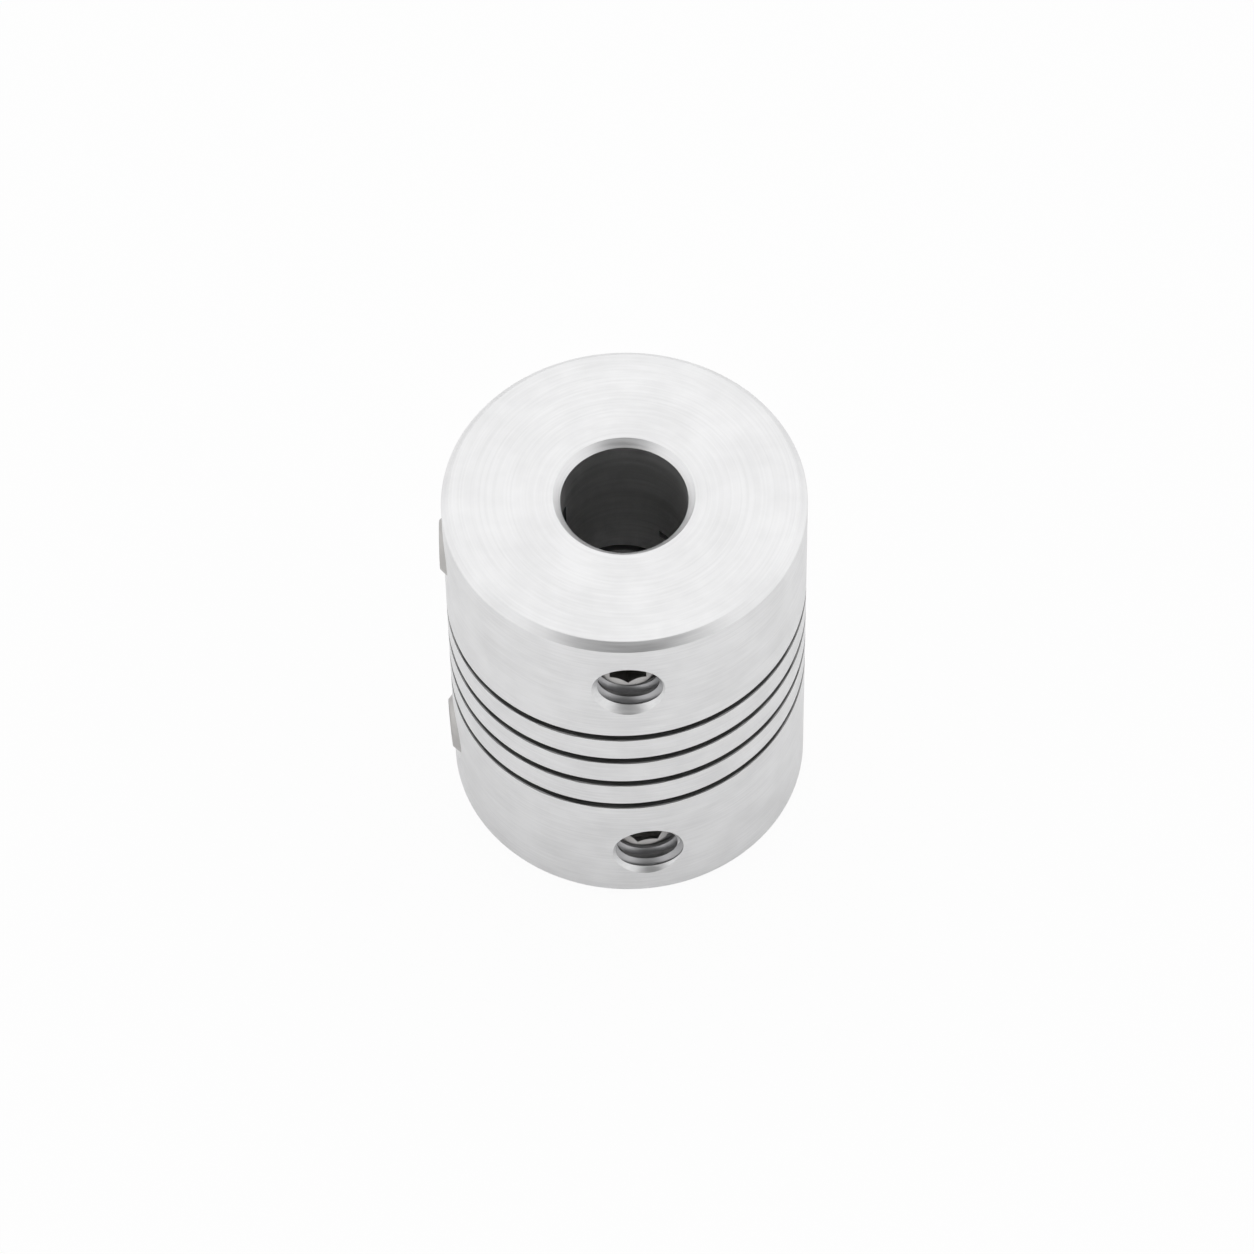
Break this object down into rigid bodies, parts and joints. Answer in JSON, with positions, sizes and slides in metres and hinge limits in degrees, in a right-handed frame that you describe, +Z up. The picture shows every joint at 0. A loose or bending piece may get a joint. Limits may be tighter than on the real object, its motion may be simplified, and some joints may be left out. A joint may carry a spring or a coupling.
{
  "type": "helical-slit shaft coupling",
  "caption": "Cylindrical flexible shaft coupling with a helical slit through its wall, a central bore and radial socket set screws in its hubs.",
  "frame": {"origin": "centre of the lower end face, on the bore axis", "axes": "+Z up the bore axis; -Y out through the front set screws; -X out through the upper side screw"},
  "size_m": [0.0203, 0.02, 0.025],
  "materials": {
    "body": "fine turned, bead-blasted satin",
    "screw": "bright machined steel"
  },
  "bodies": {
    "coupling_body": {"coupling_body": "body"},
    "upper_front_set_screw": {"upper_front_set_screw": "screw"},
    "upper_side_set_screw": {"upper_side_set_screw": "screw"},
    "lower_front_set_screw": {"lower_front_set_screw": "screw"},
    "lower_side_set_screw": {"lower_side_set_screw": "screw"}
  },
  "joints": [
    {"name": "upper_front_screw_travel", "type": "slide", "parent": "coupling_body", "child": "upper_front_set_screw", "axis": [0, -1, 0], "range_m": [-0.0007, 0.0028]},
    {"name": "upper_side_screw_travel", "type": "slide", "parent": "coupling_body", "child": "upper_side_set_screw", "axis": [-1, 0, 0], "range_m": [-0.0021, 0.0014]},
    {"name": "lower_front_screw_travel", "type": "slide", "parent": "coupling_body", "child": "lower_front_set_screw", "axis": [0.0958, -0.9954, 0], "range_m": [-0.0007, 0.0028]},
    {"name": "lower_side_screw_travel", "type": "slide", "parent": "coupling_body", "child": "lower_side_set_screw", "axis": [-0.9954, -0.0958, 0], "range_m": [-0.0021, 0.0014]}
  ]
}
